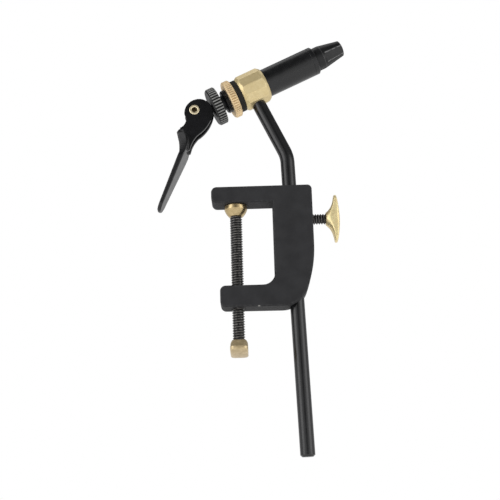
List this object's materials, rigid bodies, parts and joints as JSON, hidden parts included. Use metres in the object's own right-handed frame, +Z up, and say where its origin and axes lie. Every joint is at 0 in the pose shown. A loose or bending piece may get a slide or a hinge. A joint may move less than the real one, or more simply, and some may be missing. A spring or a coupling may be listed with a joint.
{
  "type": "fly tying vise",
  "caption": "Fly tying vise: black C-clamp with brass thumb wings, bent rod stem, brass collar and a turning barrel whose cam lever draws split collet jaws shut.",
  "frame": {"origin": "on the clamp screw's axis, in the table face under the clamp's upper arm", "axes": "+X from the clamp screw towards the stem and jaws, +Y to the far side, +Z up"},
  "size_m": [0.1166, 0.0278, 0.2528],
  "materials": {
    "black_casting": "matte black paint on a cast frame",
    "black_thread": "black oxide on a cut thread",
    "black_satin": "satin black oxide on round bar",
    "black_steel": "blackened hardened steel, ground flats",
    "black_knurl": "black oxide on a straight knurl",
    "black_lever": "semi-gloss black",
    "black_fibre": "dull black washer",
    "spring_steel": "drawn wire",
    "turned_brass": "turned and faceted, satin",
    "knurled_brass": "straight knurl, satin",
    "cast_brass": "cast and tumbled",
    "pale_brass": "turned, bright"
  },
  "bodies": {
    "frame": {"clamp_frame": "black_casting"},
    "pad": {"clamp_pad": "pale_brass"},
    "screw": {"clamp_screw": "black_thread", "clamp_wing": "cast_brass"},
    "lock_stud": {"lock_stud": "black_thread"},
    "lock_wing": {"lock_wing": "cast_brass"},
    "stem": {"stem": "black_satin", "head_collar": "turned_brass", "friction_washer": "black_fibre"},
    "barrel": {"barrel": "black_satin"},
    "lock_ring": {"lock_ring": "knurled_brass"},
    "adjuster": {"adjuster": "black_knurl"},
    "draw": {"draw_rod": "black_steel", "jaw_collet": "black_steel", "return_spring": "spring_steel"},
    "lever": {"lever": "black_lever", "lever_pin": "pale_brass"}
  },
  "joints": [
    {"name": "clamp_travel", "type": "slide", "parent": "frame", "child": "pad", "axis": [0, 0, -1], "range_m": [0, 0.0425]},
    {"name": "clamp_turn", "type": "hinge", "parent": "pad", "child": "screw", "pos_m": [0, 0, -0.05], "axis": [0, 0, 1], "range_deg": [0, 9600]},
    {"name": "lock_travel", "type": "slide", "parent": "frame", "child": "lock_stud", "axis": [1, 0, 0], "range_m": [0, 0.0032]},
    {"name": "lock_turn", "type": "hinge", "parent": "lock_stud", "child": "lock_wing", "pos_m": [0.0532, 0, -0.0098], "axis": [1, 0, 0], "range_deg": [0, 720]},
    {"name": "stem_height", "type": "slide", "parent": "frame", "child": "stem", "axis": [-0.0279, 0, 0.9996], "range_m": [-0.01, 0.08]},
    {"name": "head_turn", "type": "hinge", "parent": "stem", "child": "barrel", "pos_m": [0.01135, 0, 0.07416], "axis": [0.9063, 0, 0.4226], "continuous": true},
    {"name": "lock_ring_turn", "type": "hinge", "parent": "barrel", "child": "lock_ring", "pos_m": [-0.00288, 0, 0.06753], "axis": [0.9063, 0, 0.4226], "range_deg": [-180, 0]},
    {"name": "adjuster_turn", "type": "hinge", "parent": "barrel", "child": "adjuster", "pos_m": [-0.01285, 0, 0.06288], "axis": [0.9063, 0, 0.4226], "continuous": true},
    {"name": "jaw_draw", "type": "slide", "parent": "barrel", "child": "draw", "axis": [0.9063, 0, 0.4226], "range_m": [0, 0.0031], "deforming": ["return_spring"]},
    {"name": "lever_swing", "type": "hinge", "parent": "draw", "child": "lever", "pos_m": [-0.02352, 0, 0.06056], "axis": [0, 1, 0], "range_deg": [0, 60]}
  ],
  "couplings": [
    {"joint": "clamp_travel", "follows": "clamp_turn", "m_per_rad": 0.00023873},
    {"joint": "lock_travel", "follows": "lock_turn", "m_per_rad": 0.00023873},
    {"joint": "jaw_draw", "follows": "lever_swing", "m_per_rad": 0.0029603}
  ]
}
